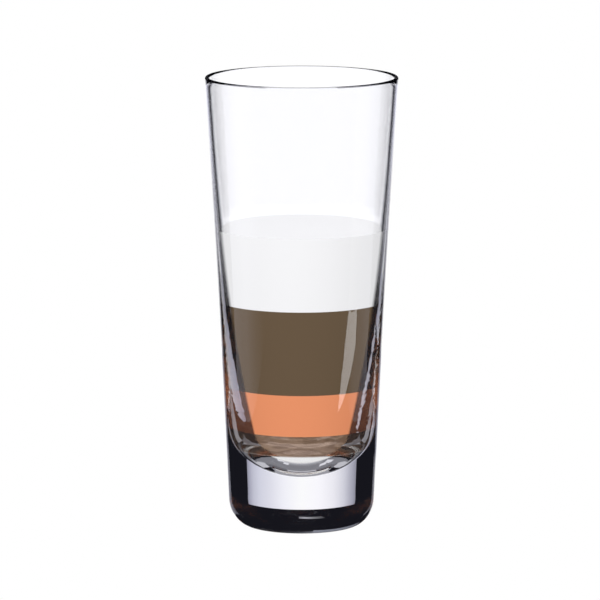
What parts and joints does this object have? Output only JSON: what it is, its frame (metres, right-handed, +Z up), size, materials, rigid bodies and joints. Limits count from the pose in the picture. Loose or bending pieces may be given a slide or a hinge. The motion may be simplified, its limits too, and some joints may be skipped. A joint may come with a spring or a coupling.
{
  "type": "coffee eggnog",
  "caption": "Layered coffee eggnog in a tall, tapered, clear tumbler with a solid heavy base: liqueur, orange eggnog, milky coffee and pale cream in level layers.",
  "frame": {"origin": "middle of the foot, on the surface that the glass stands on", "axes": "+Z up along the glass's axis, from the foot to the rim; the glass is round, so X and Y are free"},
  "size_m": [0.0698, 0.0698, 0.164],
  "materials": {
    "glass": "clear, polished",
    "liqueur": "wet, cloudy grey-brown",
    "eggnog": "wet, smooth orange",
    "coffee": "wet, smooth brown",
    "cream": "soft, lightly whipped white"
  },
  "bodies": {
    "root": {"glass": "glass", "liqueur_layer": "liqueur", "eggnog_layer": "eggnog", "coffee_layer": "coffee", "cream_layer": "cream"}
  },
  "joints": []
}
